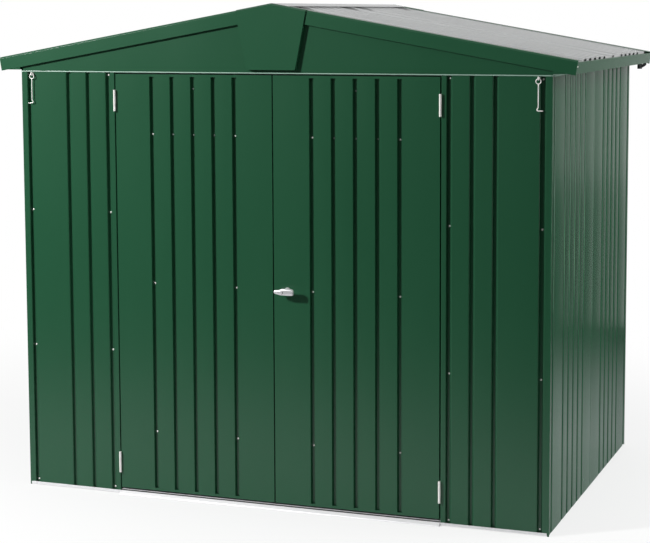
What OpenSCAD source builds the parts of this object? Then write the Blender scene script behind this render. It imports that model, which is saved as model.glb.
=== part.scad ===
// Metal garden storage shed: a folded sheet-steel shell with a gable roof and a pair of outward-opening doors.
// Millimetres, +Z up, doors towards -Y. The origin is on the ground, under the centre of the overall box.

/* [Body] */
// Width of one wall sheet between its joints
bay_w = 728; // [606:1:880]
// Sheets along the front and back walls
front_bays = 3; // [3:1:4]
// Sheets along each side wall
side_bays = 2; // [1:1:3]
// Height of the wall sheets' top edge above the ground
wall_h = 1760; // [1460:1:2120]
// Distance from a corner to the first sheet joint
corner_w = 38; // [34:1:46]
// Thickness of the folded sheet
sheet_t = 1.5; // [1:0.1:2]
// Clearance between pieces that seat on each other
fit = 0.3; // [0.2:0.05:0.4]

/* [Wall sheets] */
// Grooves pressed in one full sheet
grooves_per_bay = 5; // [3:1:5]
// Width of a groove at the face
groove_w = 20; // [15:0.5:24]
// Width of a groove's floor
groove_floor_w = 11; // [6:0.5:16]
// Depth of a groove
groove_d = 12; // [5:0.1:13]

/* [Doors] */
// Width of a door jamb's face, between the front panel and the doorway
jamb_w = 20.5; // [16:0.5:80]
// Gap between a leaf and its jamb
leaf_gap = 5; // [5:0.5:8]
// Gap between the two leaves
seam_gap = 5; // [5:0.5:10]
// Depth of a leaf, from its face to its inner edge
leaf_d = 24; // [20:0.5:29]
// Height of a leaf's bottom edge above the ground
leaf_z0 = 27; // [25:1:60]
// Gap above a leaf
leaf_top_gap = 5; // [5:1:12]
// Outer radius of a hinge knuckle
knuckle_r = 4.75; // [4:0.25:7]
// Radius of a hinge pin
hinge_pin_r = 2; // [1.5:0.25:3]
// Length of a hinge
hinge_len = 87; // [60:1:120]
// Radial running clearance in hinges and in the handle's rose
run_fit = 0.05; // [0.03:0.01:0.08]

/* [Handle and hooks] */
// Height of the turn handle above the ground
handle_z = 897; // [700:1:1200]
// Distance of the handle's spindle from the doorway's middle
handle_x = 61; // [55:1:90]
// Radius of the handle's spindle
spindle_r = 7; // [5:0.5:8]
// How far the handle stands out from the door's face
handle_reach = 48; // [36:1:60]
// Radius of the hook wire
wire_r = 2.2; // [1.8:0.1:2.6]
// Length of a hook from its ring's centre to its foot
hook_len = 110; // [80:1:140]

/* [Roof] */
// Pitch of the roof in degrees
pitch = 10; // [8:0.5:14]
// Overhang of the roof beyond the side walls, as far as the gutters' outer faces
eave_over = 96; // [80:1:140]
// Overhang of the roof beyond the front and back walls
verge_over = 12; // [10:1:60]
// Height of the barge boards
barge_h = 50; // [44:1:90]
// Height of the roof's top line above the wall sheets, at the eaves
eave_rise = 54; // [52:0.5:80]
// Width of a raised rib of the roof at its foot
rib_w = 44; // [38:1:60]
// Width of a raised rib at its top
rib_top_w = 34; // [24:1:40]
// Height of a raised rib
rib_h = 9; // [6:0.5:12]
// Half width of the ridge cap, along the slope
cap_half_w = 62; // [50:1:90]
// Half width of the gable cap at its top
plaque_top_w = 149; // [110:1:220]
// Half width of the gable cap at its foot
plaque_foot_w = 103; // [80:1:140]

/* [Hidden] */

wall_green = [0.15, 0.36, 0.25];
trim_green = [0.17, 0.38, 0.27];
zinc = [0.74, 0.75, 0.76];
steel = [0.86, 0.87, 0.88];
black = [0.08, 0.08, 0.09];

// Overall plan
front_w = front_bays * bay_w + 2 * corner_w;
side_d = side_bays * bay_w + 2 * corner_w;
half_w = front_w / 2;
half_d = side_d / 2;
pitch_w = bay_w / (grooves_per_bay + 3);   // spacing of the grooves, with a flat of two at each edge

// Groove profile
groove_flank = (groove_w - groove_floor_w) / 2;
flank_shift = sheet_t * (norm([groove_flank, groove_d]) - groove_flank) / groove_d;
sheet_depth = groove_d + sheet_t;
lap_depth = sheet_depth + fit;             // face of what lies behind a sheet's deepest part
lap_back = lap_depth + sheet_t;
fold = 3.2;                                // run of the fold that drops a post's or a jamb's face that far
fold_shift = sheet_t * (norm([fold, lap_depth]) - fold) / lap_depth;

// Sheet-to-sheet joint: one edge is set back by the sheet's own thickness and the next sheet lies over it
joggle = sheet_t + fit;
lap_reach = 12;
lap_open = 4;
lap_under = 8;

// Base
foot_h = 4;
foot_back = 40;
foot_inset = 12;                           // the ground foot is set back, so a shadow line runs round the base
plate_front = 2;
strip_h = 10;                              // height of the bright strip in front of the sheets' feet
strip_gap = 0.5;
strip_t = 2;
upstand_y = lap_back + fit + 0.2;
upstand_h = 40;
sheet_z0 = foot_h + sheet_t + fit;
corner_strip_w = corner_w - groove_w / 2 - 0.5;
corner_foot = 7;
corner_r = 3;
post_flange = 12;                          // how far a corner post reaches past the groove beside it
strip_end = 8;                             // the base strips and the rails' lips stop short of a corner

// Top rails
rail_t = 5;
rail_z = wall_h + fit;
rail_top = rail_z + rail_t;
lip_out = 4;
lip_h = 4;
rail_back = 40;
rail_leg = 35;
stop_y = leaf_d + 6;
gable_y = 1;                               // depth of a gable's face behind the wall's
web_end = gable_y + sheet_t + fit;

// Doorway
jamb_depth = 30;
panel_end = corner_w + 4 * pitch_w;        // the front panels end at a half sheet, on a groove's line
strip_x = panel_end + groove_w / 2 + 0.5;  // a jamb's face starts here
door_half_w = half_w - strip_x - jamb_w;   // half width of the doorway
leaf_hinge_x = door_half_w - leaf_gap;     // hinge-side edge of a leaf
axis_x = door_half_w - leaf_gap / 2;
axis_out = knuckle_r + 1.75;               // the pins stand in front of the faces
leaf_free_x = seam_gap / 2;
leaf_w = leaf_hinge_x - leaf_free_x;
leaf_z1 = wall_h - leaf_top_gap;
leaf_mid = (leaf_hinge_x + leaf_free_x) / 2;
leaf_groove_end = 10;                      // flat left above and below the leaves' grooves
hem_w = 14;                                // width of the fold along a leaf's inner edges
brace_h = 44;
brace_from_foot = 248;
brace_from_top = 244;
brace_y = sheet_depth + 0.01;
hinge_low_z = leaf_z0 + 65;
hinge_high_z = leaf_z1 - 65 - hinge_len;
hinge_end = 10;                            // length of each fixed knuckle
hinge_plate_t = 1;
hinge_plate_off = leaf_gap / 2 - 0.2 - hinge_plate_t;
hinge_plate_back = 20;

// Sill
sill_out = 16;
sill_nose_h = 14;
sill_groove = 7;
sill_track_h = 19;
sill_back = 38;

// Handle and hooks
rose_r = 14;
rose_t = 5;
handle_hole_r = spindle_r + 4;             // the hole in the leaf, hidden by the rose
rose_gap = 0.2;
neck_r = 11;
bar_t = 17;
grip_r = 13;                               // half height of the grip at its spindle
nose_x = 27;
nose_r = 12;
tail_x = -33;
tail_r = 8;
cam_len = 42;
cam_w = 18;
cam_t = 4;
hook_x = half_w - corner_w - groove_w / 2 - 5.5;
eye_wire_r = 2;
eye_r = 6;
eye_z = wall_h - 7;
eye_out = 9;
eye_disc_r = 5;
eye_disc_t = 1.5;
ring_r = 10;
pivot_drop = eye_r - eye_wire_r - wire_r - fit;
foot_w = 22;
foot_kink = 5;

// Roof
cp = cos(pitch);
tp = tan(pitch);
eave_x = half_w + eave_over;
apex_z = wall_h + eave_rise + eave_x * tp;
verge_y = half_d + verge_over;
slope_len = eave_x / cp;
rib_flank = (rib_w - rib_top_w) / 2;
rib_flank_t = sheet_t * norm([rib_flank, rib_h]) / rib_h;   // thickness of a rib's flank along y
rib_shift = rib_flank_t - sheet_t * rib_flank / rib_h;
flat_z = -rib_h / 2;                       // the flats' tops lie this far below the roof's top line
under_t = sheet_t - flat_z + fit;          // below the top line, square to the slope: what carries the sheets
barge_t = 1.5;
barge_bend = rib_h / 2 + fit + barge_t;    // the barge boards' top flange steps up over the ribs by this
barge_flange_y = -half_d + corner_w + rib_top_w / 2 + 1.5;   // where that flange ends
soffit_gap = 5;
barge_return = verge_over + gable_y - soffit_gap;
sheet_edge_y = -verge_y + barge_t + 2;     // the sheets' outer edges, inside the barge boards
sheet_end_x = eave_x - 22;                 // the sheets end here, over the gutters
ridge_gap = 14;                            // they stop this far short of the ridge line
seam_upstand = 5.5;                        // the back sheets' edge stands this high inside the seam's rib
seam_t = sheet_t / 2;                      // that edge starts this far short of the rib's line

beam_half_w = 45;                          // the ridge beam's half width, leg and thickness
beam_leg = 32;
beam_t = 2;

// Gutters: level bottoms, outer faces that lean out to meet the barge boards' ends
gutter_z = rail_top + 4.5;
gutter_lean = 7.5;
gutter_hem = 6;
gutter_y = verge_y - barge_t - fit;
spout_x = eave_x - 46;
spout_from_end = 36;
spout_r = 10.5;
spout_bore_r = 8.5;
spout_len = 27;
spout_collar = 4;

// Plain caps over the gables' peaks
plaque_out = verge_over + 5;
plaque_t = 2;
plaque_lift = 2;                           // the top folds start this far above the roof's top line
plate_lift = 1.5;                          // the plate ends inside their front edge
plaque_foot_z = rail_top + 11;
plaque_fold_y = -half_d + 10;
ridge_cap_gap = 6;

// The box's middle lies a little in front of the walls' middle, because of the handle
front_reach = max(plaque_out, handle_reach, eye_out + eye_r + eye_wire_r);
back_reach = plaque_out;
shift_y = (front_reach - back_reach) / 2;

// ---- outlines ----

// Outer points of one groove, y growing into the sheet
function groove_face(c) = [
    [c - groove_w / 2, 0], [c - groove_floor_w / 2, groove_d],
    [c + groove_floor_w / 2, groove_d], [c + groove_w / 2, 0]
];

// The same groove on the sheet's back, right to left
function groove_rear(c) = [
    [c + groove_w / 2 + flank_shift, sheet_t], [c + groove_floor_w / 2 + flank_shift, sheet_depth],
    [c - groove_floor_w / 2 - flank_shift, sheet_depth], [c - groove_w / 2 - flank_shift, sheet_t]
];

// Top and underside of one raised rib of the roof, left to right and right to left
function rib_top(c) = [
    [c - rib_w / 2, 0], [c - rib_top_w / 2, rib_h], [c + rib_top_w / 2, rib_h], [c + rib_w / 2, 0]
];
function rib_under(c) = [
    [c + rib_w / 2 - rib_shift, -sheet_t], [c + rib_top_w / 2 - rib_shift, rib_h - sheet_t],
    [c - rib_top_w / 2 + rib_shift, rib_h - sheet_t], [c - rib_w / 2 + rib_shift, -sheet_t]
];

// Left edge of a sheet: "channel" folds down to a screwed joint, "over" laps over its neighbour,
// and "cut" ends square
function left_face(kind) =
    kind == "channel"
    ? [[-groove_floor_w / 2 + 0.5, groove_d], [groove_floor_w / 2, groove_d], [groove_w / 2, 0]] :
    kind == "over" ? [[-lap_reach, 0]] : [[0, 0]];
function left_rear(kind) =
    kind == "channel"
    ? [[groove_w / 2 + flank_shift, sheet_t], [groove_floor_w / 2 + flank_shift, sheet_depth],
       [-groove_floor_w / 2 + 0.5, sheet_depth]] :
    kind == "over" ? [[-lap_reach, sheet_t]] : [[0, sheet_t]];

// Right edge of a sheet: "channel", "under" steps back behind its neighbour, or "cut"
function right_face(kind, w) =
    kind == "channel"
    ? [[w - groove_w / 2, 0], [w - groove_floor_w / 2, groove_d], [w + groove_floor_w / 2 - 0.5, groove_d]] :
    kind == "under"
    ? [[w - lap_reach - lap_open, 0], [w - lap_reach - 1, joggle], [w + lap_under, joggle]] : [[w, 0]];
function right_rear(kind, w) =
    kind == "channel"
    ? [[w + groove_floor_w / 2 - 0.5, sheet_depth], [w - groove_floor_w / 2 - flank_shift, sheet_depth],
       [w - groove_w / 2 - flank_shift, sheet_t]] :
    kind == "under" ? [[w + lap_under, joggle + sheet_t], [w - lap_reach - 1.5, joggle + sheet_t],
                       [w - lap_reach - lap_open - 0.5, sheet_t]] : [[w, sheet_t]];

function reversed(list) = [for (i = [len(list) - 1:-1:0]) list[i]];
function joined(lists) = [for (part = lists) for (point = part) point];

// Closed outline of a grooved sheet seen from above: width w, groove centres, and its two edges
function sheet_outline(w, centres, left, right) = concat(
    left_face(left), joined([for (c = centres) groove_face(c)]), right_face(right, w),
    right_rear(right, w), joined([for (c = reversed(centres)) groove_rear(c)]), left_rear(left)
);

bay_centres = [for (i = [0:grooves_per_bay - 1]) (i + 2) * pitch_w];

// Height of the underside that carries the roof, x from the middle
function carry_z(x) = apex_z - abs(x) * tp - under_t / cp;

// ---- frames of reference ----

// Puts children in the stored frame
module placed() translate([0, shift_y, 0]) children();

// Stands an outline up: its x runs along x and its y becomes depth behind the front face
module standing(z0, z1) translate([0, 0, z0]) linear_extrude(z1 - z0) children();

// Extrudes an outline (depth, height) along +X
module along_x(length) rotate([90, 0, 90]) linear_extrude(length) children();

// Extrudes an outline (x, height) along +Y
module along_y(length) translate([0, length, 0]) rotate([90, 0, 0]) linear_extrude(length) children();

// Wall frames: x runs along the wall from its left corner seen from outside, y goes into the shed
module front_wall() translate([-half_w, -half_d, 0]) children();
module back_wall() translate([half_w, half_d, 0]) rotate([0, 0, 180]) children();
module right_wall() translate([half_w, -half_d, 0]) rotate([0, 0, 90]) children();
module left_wall() translate([-half_w, half_d, 0]) rotate([0, 0, -90]) children();

// Slope frame of the right roof half: x runs down the slope from the ridge line, z is square to it
module right_slope() translate([0, 0, apex_z]) rotate([0, pitch, 0]) children();
module mirrored(side) mirror([side < 0 ? 1 : 0, 0, 0]) children();

// ---- base ----

// Foot of a base rail, with a bright strip in front of the sheets where it shows
module base_foot_outline(bright) polygon(concat(
    [[foot_inset, 0], [foot_inset, foot_h]],
    bright ? [[-strip_gap - strip_t, foot_h], [-strip_gap - strip_t, foot_h + strip_h],
              [-strip_gap, foot_h + strip_h], [-strip_gap, foot_h + sheet_t]]
           : [[plate_front, foot_h], [plate_front, foot_h + sheet_t]],
    [[foot_back, foot_h + sheet_t], [foot_back, 0]]
));

// Upstand behind the sheets' feet
module base_upstand_outline() translate([upstand_y, foot_h]) square([sheet_t, upstand_h]);

module front_base_rails() placed() color(zinc)
    for (side = [-1, 1]) mirrored(side) translate([0, -half_d, 0]) {
        start = door_half_w + fit;
        end = half_w - strip_end;
        translate([start, 0, 0]) along_x(end - start) base_foot_outline(true);
        translate([start + sheet_t, 0, 0]) along_x(end - start - sheet_t) base_upstand_outline();
    }

module back_base_rail() placed() color(zinc) back_wall()
    translate([strip_end, 0, 0]) along_x(front_w - 2 * strip_end) {
        base_foot_outline(true);
        base_upstand_outline();
    }

module side_base_rails() placed() color(wall_green)
    for (side = [-1, 1]) mirrored(side) right_wall()
        translate([foot_back + fit, 0, 0]) along_x(side_d - 2 * (foot_back + fit)) {
            base_foot_outline(false);
            base_upstand_outline();
        }

module door_sill() placed() color(zinc)
    translate([-door_half_w, -half_d, 0]) along_x(2 * door_half_w) polygon([
        [-sill_out, 0], [-sill_out + 2, 4], [-2, sill_nose_h], [0, sill_nose_h], [0, 5],
        [sill_groove, 5], [sill_groove, sill_track_h], [sill_groove + 2, sill_track_h], [sill_groove + 2, 8],
        [sill_back, 8], [sill_back, 0]
    ]);

// ---- posts and wall sheets ----

// Plan of a corner post: two face strips, each folded in to a flange behind the sheet beside it
module corner_outline() {
    reach = corner_w + post_flange;
    face = [[reach, lap_depth], [corner_strip_w + fold, lap_depth], [corner_strip_w, 0]];
    rear = [[corner_strip_w - fold_shift, sheet_t], [corner_strip_w + fold - fold_shift, lap_back],
            [reach, lap_back]];
    bend = [for (i = [0:4]) corner_r * [1 - sin(i * 22.5), 1 - cos(i * 22.5)]];
    polygon(concat(face, bend, [for (p = reversed(face)) [p[1], p[0]]],
                   [for (p = reversed(rear)) [p[1], p[0]]], [[sheet_t, sheet_t]], rear));
}

module corner_post() {
    standing(sheet_z0, wall_h) corner_outline();
    standing(0, sheet_z0) intersection() {
        corner_outline();
        square(corner_foot);
    }
}

module front_left_corner_post() placed() color(wall_green) front_wall() corner_post();
module front_right_corner_post() placed() color(wall_green) mirrored(-1) front_wall() corner_post();
module back_right_corner_post() placed() color(wall_green) back_wall() corner_post();
module back_left_corner_post() placed() color(wall_green) mirrored(-1) back_wall() corner_post();

// One full wall sheet, the index-th of a wall that has count of them
module wall_sheet(index, count) {
    left = index == 0 ? "channel" : "over";
    right = index == count - 1 ? "channel" : "under";
    color(wall_green) translate([corner_w + index * bay_w, 0, 0]) standing(sheet_z0, wall_h)
        polygon(sheet_outline(bay_w, bay_centres, left, right));
}

// All sheets from first to last of one wall
module wall_sheets(first, last, count) for (i = [first:last]) wall_sheet(i, count);

module front_panel() color(wall_green) translate([corner_w, 0, 0]) standing(sheet_z0, wall_h)
    polygon(sheet_outline(panel_end - corner_w, [for (i = [2:3]) i * pitch_w], "channel", "channel"));

module front_left_panel() placed() front_wall() front_panel();
module front_right_panel() placed() mirrored(-1) front_wall() front_panel();

side_front_last = ceil(side_bays / 2) - 1;
module right_wall_front_sheet() placed() right_wall() wall_sheets(0, side_front_last, side_bays);
module right_wall_back_sheet() placed() right_wall()
    wall_sheets(side_front_last + 1, side_bays - 1, side_bays);
module left_wall_front_sheet() placed() mirrored(-1) right_wall() wall_sheets(0, side_front_last, side_bays);
module left_wall_back_sheet() placed() mirrored(-1) right_wall()
    wall_sheets(side_front_last + 1, side_bays - 1, side_bays);

module back_wall_right_sheet() placed() back_wall() wall_sheet(0, front_bays);
module back_wall_middle_sheet() placed() back_wall() wall_sheets(1, front_bays - 2, front_bays);
module back_wall_left_sheet() placed() back_wall() wall_sheet(front_bays - 1, front_bays);

// Plan of a jamb: a flange behind the panel's edge, a face strip and a deep return beside the door
module jamb_outline() {
    edge = half_w - door_half_w;           // from the corner to the doorway
    polygon([
        [panel_end - post_flange, lap_depth], [strip_x - fold, lap_depth], [strip_x, 0], [edge, 0],
        [edge, jamb_depth], [edge - sheet_t, jamb_depth], [edge - sheet_t, sheet_t],
        [strip_x + fold_shift, sheet_t],
        [strip_x - fold + fold_shift, lap_back], [panel_end - post_flange, lap_back]
    ]);
}

module door_jambs() placed() color(wall_green)
    for (side = [-1, 1]) mirrored(-side) front_wall() standing(sheet_z0, wall_h) jamb_outline();

// ---- top rails ----

module rail_plate(length) along_x(length) translate([0, rail_z]) square([rail_back, rail_t]);
module rail_lip(length) along_x(length) translate([-lip_out, rail_top - lip_h]) square([lip_out + 1, lip_h]);
module rail_leg_bar(y, length) along_x(length)
    translate([y, rail_z - rail_leg]) square([sheet_t, rail_leg + 1]);

module front_top_rail() placed() color(trim_green) front_wall() {
    doorway = half_w - door_half_w;
    rail_plate(front_w);
    translate([strip_end, 0, 0]) rail_lip(front_w - 2 * strip_end);
    for (x = [corner_w, front_w - doorway]) translate([x + (x > half_w ? sheet_t : 0), 0, 0])
        rail_leg_bar(upstand_y, doorway - corner_w - sheet_t);
    translate([doorway, 0, 0]) rail_leg_bar(stop_y, 2 * door_half_w);
}

module back_top_rail() placed() color(trim_green) back_wall() {
    rail_plate(front_w);
    translate([strip_end, 0, 0]) rail_lip(front_w - 2 * strip_end);
    translate([corner_w, 0, 0]) rail_leg_bar(upstand_y, front_w - 2 * corner_w);
}

// A side rail also stands up to the roof sheets. It lies between the front and back rails and laps over
// their ends
module side_top_rail() right_wall() {
    inner = rail_back + fit;
    web_top = carry_z(half_w);
    translate([inner, 0, 0]) {
        rail_plate(side_d - 2 * inner);
        rail_leg_bar(upstand_y, side_d - 2 * inner);
        rail_lip(side_d - 2 * inner);
        along_x(side_d - 2 * inner) translate([0, rail_z]) square([sheet_t, web_top - rail_z]);
    }
    translate([strip_end, 0, 0]) along_x(side_d - 2 * strip_end)
        translate([-lip_out, rail_top - lip_h]) square([lip_out - fit, lip_h]);
    translate([web_end, 0, 0]) along_x(side_d - 2 * web_end)
        translate([0, rail_top + fit]) square([sheet_t, web_top - rail_top - fit]);
}

module right_top_rail() placed() color(trim_green) side_top_rail();
module left_top_rail() placed() color(trim_green) mirrored(-1) side_top_rail();

// ---- gables ----

module gable() translate([0, -half_d + gable_y, 0]) along_y(sheet_t) polygon([
    [-half_w, rail_top + fit], [half_w, rail_top + fit], [half_w, carry_z(half_w)], [0, carry_z(0)],
    [-half_w, carry_z(half_w)]
]);

module front_gable() placed() color(wall_green) gable();
module back_gable() placed() color(wall_green) mirror([0, 1, 0]) gable();

// Keeps the part of the right roof half that is right of the middle
module right_half() intersection() {
    children();
    translate([fit / 2, -2 * half_d, apex_z - half_w]) cube([2 * half_w, 4 * half_d, 2 * half_w]);
}

// Depth and height of a barge board square to the slope, with or without the return along its foot
module barge_outline(foot) polygon(concat(
    [[-verge_y, -barge_h], [-verge_y, 0], [-verge_y + barge_bend, barge_bend], [barge_flange_y, barge_bend],
     [barge_flange_y, barge_bend - barge_t], [-verge_y + barge_bend + 0.6, barge_bend - barge_t],
     [-verge_y + barge_t, -0.6]],
    foot ? [[-verge_y + barge_t, -barge_h + barge_t], [-verge_y + barge_return, -barge_h + barge_t],
            [-verge_y + barge_return, -barge_h]]
         : [[-verge_y + barge_t, -barge_h]]
));

module barge_boards() color(trim_green) for (side = [-1, 1]) mirrored(side) right_half() right_slope() {
    foot_end = (half_w - 4) / cp;          // the return stops where the gutter begins
    translate([-barge_h, 0, 0]) along_x(foot_end + barge_h) barge_outline(true);
    translate([foot_end - 1, 0, 0]) along_x(slope_len - foot_end + 1) barge_outline(false);
}

module front_barge_boards() placed() barge_boards();
module back_barge_boards() placed() mirror([0, 1, 0]) barge_boards();

// The plain plate over the gable's peak, folded back over the barge boards and down to the gable
module gable_cap() color(trim_green) {
    y0 = -half_d - plaque_out;
    top_z = apex_z + plate_lift / cp;
    shoulder_z = top_z - plaque_top_w * tp;
    side_top = apex_z - plaque_top_w * tp - (barge_h + fit + 0.5) / cp;
    lean = (plaque_top_w - plaque_foot_w) / (shoulder_z - plaque_foot_z);
    side_x = plaque_foot_w + lean * (side_top - plaque_foot_z);
    translate([0, y0, 0]) along_y(plaque_t) polygon([
        [-plaque_foot_w, plaque_foot_z], [plaque_foot_w, plaque_foot_z], [plaque_top_w, shoulder_z],
        [0, top_z], [-plaque_top_w, shoulder_z]
    ]);
    // top folds, one on each slope
    fold_z = barge_bend + fit;
    for (side = [-1, 1]) mirrored(side) intersection() {
        right_slope() translate([-barge_h, 0, 0]) along_x(plaque_top_w / cp + barge_h) polygon([
            [y0, plaque_lift], [-verge_y + barge_bend, fold_z + sheet_t], [plaque_fold_y, fold_z + sheet_t],
            [plaque_fold_y, fold_z], [-verge_y + barge_bend - 1, fold_z], [y0 + plaque_t, plaque_lift - 1],
            [y0, plaque_lift - 1]
        ]);
        translate([0, -2 * half_d, apex_z - half_w]) cube([plaque_top_w, 4 * half_d, 2 * half_w]);
    }
    // side and foot folds
    translate([0, y0, 0]) along_y(plaque_out + gable_y - fit) {
        for (side = [-1, 1]) polygon([
            [side * plaque_foot_w, plaque_foot_z], [side * side_x, side_top],
            [side * (side_x - sheet_t), side_top], [side * (plaque_foot_w - sheet_t), plaque_foot_z]
        ]);
        translate([-plaque_foot_w, plaque_foot_z]) square([2 * plaque_foot_w, sheet_t]);
    }
}

module front_gable_cap() placed() gable_cap();
module back_gable_cap() placed() mirror([0, 1, 0]) gable_cap();

// ---- gutters ----

// Section across the right gutter, seen from the front
module gutter_outline() {
    x0 = half_w + fit;
    x2 = eave_x;
    x1 = x2 - gutter_lean;
    top = apex_z - eave_x * tp;
    leg = carry_z(x0 + sheet_t) - 1;
    polygon([
        [x0, gutter_z], [x1, gutter_z], [x2, top], [x2 - gutter_hem, top], [x2 - gutter_hem, top - sheet_t],
        [x2 - sheet_t - 0.3, top - sheet_t], [x1 - sheet_t, gutter_z + sheet_t],
        [x0 + sheet_t, gutter_z + sheet_t],
        [x0 + sheet_t, leg], [x0, leg]
    ]);
}

// Flat end of the right gutter: it closes the trough behind the barge board
module gutter_end_outline() {
    x0 = half_w + fit;
    x1 = eave_x - gutter_lean;
    end = sheet_end_x + 4;
    polygon([[x0, gutter_z], [x1, gutter_z], [x1 + gutter_lean / 2, apex_z - eave_x * tp - 20],
             [end, carry_z(end) - 1], [x0, carry_z(x0) - 1]]);
}

module gutter() color(trim_green) {
    translate([0, -gutter_y, 0]) along_y(2 * gutter_y) gutter_outline();
    for (y = [-gutter_y, gutter_y - sheet_t]) translate([0, y, 0]) along_y(sheet_t) gutter_end_outline();
}

module right_gutter() placed() gutter();
module left_gutter() placed() mirrored(-1) gutter();

// Short outlets under the gutters' back ends
module gutter_spouts() placed() color(black) for (side = [-1, 1]) mirrored(side)
    translate([spout_x, verge_y - spout_from_end, gutter_z - fit - spout_len]) difference() {
        union() {
            cylinder(h = spout_len, r = spout_r, $fn = 48);
            translate([0, 0, spout_len - 2.5]) cylinder(h = 2.5, r = spout_r + spout_collar, $fn = 48);
        }
        translate([0, 0, -1]) cylinder(h = spout_len + 2, r = spout_bore_r, $fn = 48);
    }

// ---- roof sheets ----

// Raised ribs lie on the lines of the side walls' grooves, with one more at each edge
edge_rib_y = -half_d + corner_w;
function sheet_ribs(index) = [for (c = bay_centres) edge_rib_y + index * bay_w + c];

// Extends an outline (along the ridge, height) down the slope, and closes the ribs at the ridge
module roof_strip(y0, y1) {
    length = sheet_end_x / cp - ridge_gap;
    translate([ridge_gap, 0, flat_z]) {
        along_x(length) children();
        translate([0, y0, -sheet_t]) cube([sheet_t, y1 - y0, rib_h + sheet_t]);
    }
}

// Outline of a sheet with ribs, between the points of its two edges
module ribbed_outline(ribs, left_top, left_under, right_top, right_under) polygon(concat(
    left_top, joined([for (c = ribs) rib_top(c)]), right_top,
    right_under, joined([for (c = reversed(ribs)) rib_under(c)]), left_under
));

// Front sheets: the last of their ribs covers the upstand of the next sheet
module roof_over_sheet(index, first) {
    start = edge_rib_y + index * bay_w;
    end = start + bay_w;
    y0 = first ? sheet_edge_y : start - seam_t;
    ribs = concat(first ? [start] : [], sheet_ribs(index));
    foot = fit + 0.1;
    left_top = first ? [[y0, 0]] : [[y0, seam_upstand], [y0 + sheet_t, seam_upstand], [y0 + sheet_t, 0]];
    left_under = [[y0, -sheet_t]];
    edge = end + rib_w / 2 - rib_flank * foot / rib_h;
    right_top = [[end - rib_w / 2, 0], [end - rib_top_w / 2, rib_h], [end + rib_top_w / 2, rib_h],
                 [edge, foot]];
    right_under = [[edge - rib_flank_t, foot],
                   [end + rib_top_w / 2 - rib_shift, rib_h - sheet_t],
                   [end - rib_top_w / 2 + rib_shift, rib_h - sheet_t],
                   [end - rib_w / 2 + rib_shift, -sheet_t]];
    roof_strip(first ? -half_d : start + rib_w / 2, end - rib_w / 2)
        ribbed_outline(ribs, left_top, left_under, right_top, right_under);
}

module roof_over_sheets() for (i = [0:side_bays - 2]) roof_over_sheet(i, i == 0);

// Last sheet: an upstand inside the seam's rib, and its own edge rib under the back barge board
module roof_back_sheet() {
    start = edge_rib_y + (side_bays - 1) * bay_w;
    y0 = start - seam_t;
    y1 = -sheet_edge_y;
    ribs = concat(sheet_ribs(side_bays - 1), [start + bay_w]);
    left_top = [[y0, seam_upstand], [y0 + sheet_t, seam_upstand], [y0 + sheet_t, 0]];
    roof_strip(start + rib_w / 2, half_d)
        ribbed_outline(ribs, left_top, [[y0, -sheet_t]], [[y1, 0]], [[y1, -sheet_t]]);
}

module right_roof_front_sheet() placed() right_slope() roof_over_sheets();
module right_roof_back_sheet() placed() right_slope() roof_back_sheet();
module left_roof_front_sheet() placed() mirrored(-1) right_slope() roof_over_sheets();
module left_roof_back_sheet() placed() mirrored(-1) right_slope() roof_back_sheet();

// Channel under the ridge, from gable to gable
module ridge_beam() placed() color(zinc) {
    top = apex_z - (under_t + fit) / cp;
    edge = top - beam_half_w * tp;
    inner = beam_half_w - beam_t;
    inner_z = top - inner * tp - beam_t / cp;
    length = 2 * (half_d - web_end);
    translate([0, -length / 2, 0]) along_y(length) polygon([
        [0, top], [beam_half_w, edge], [beam_half_w, edge - beam_leg], [inner, edge - beam_leg],
        [inner, inner_z], [0, top - beam_t / cp], [-inner, inner_z], [-inner, edge - beam_leg],
        [-beam_half_w, edge - beam_leg], [-beam_half_w, edge]
    ]);
}

// Cap over the ridge: it lies on the barge boards' flanges and ends at the gable caps' folds
module ridge_cap() placed() color(zinc) {
    reach = cap_half_w * cp;
    below = apex_z + (barge_bend + fit) / cp;
    over = below + sheet_t / cp;
    length = 2 * (-plaque_fold_y - ridge_cap_gap);
    translate([0, -length / 2, 0]) along_y(length) polygon([
        [0, over], [reach, over - reach * tp], [reach, below - reach * tp], [0, below],
        [-reach, below - reach * tp], [-reach, over - reach * tp]
    ]);
}

// ---- doors ----

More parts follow.
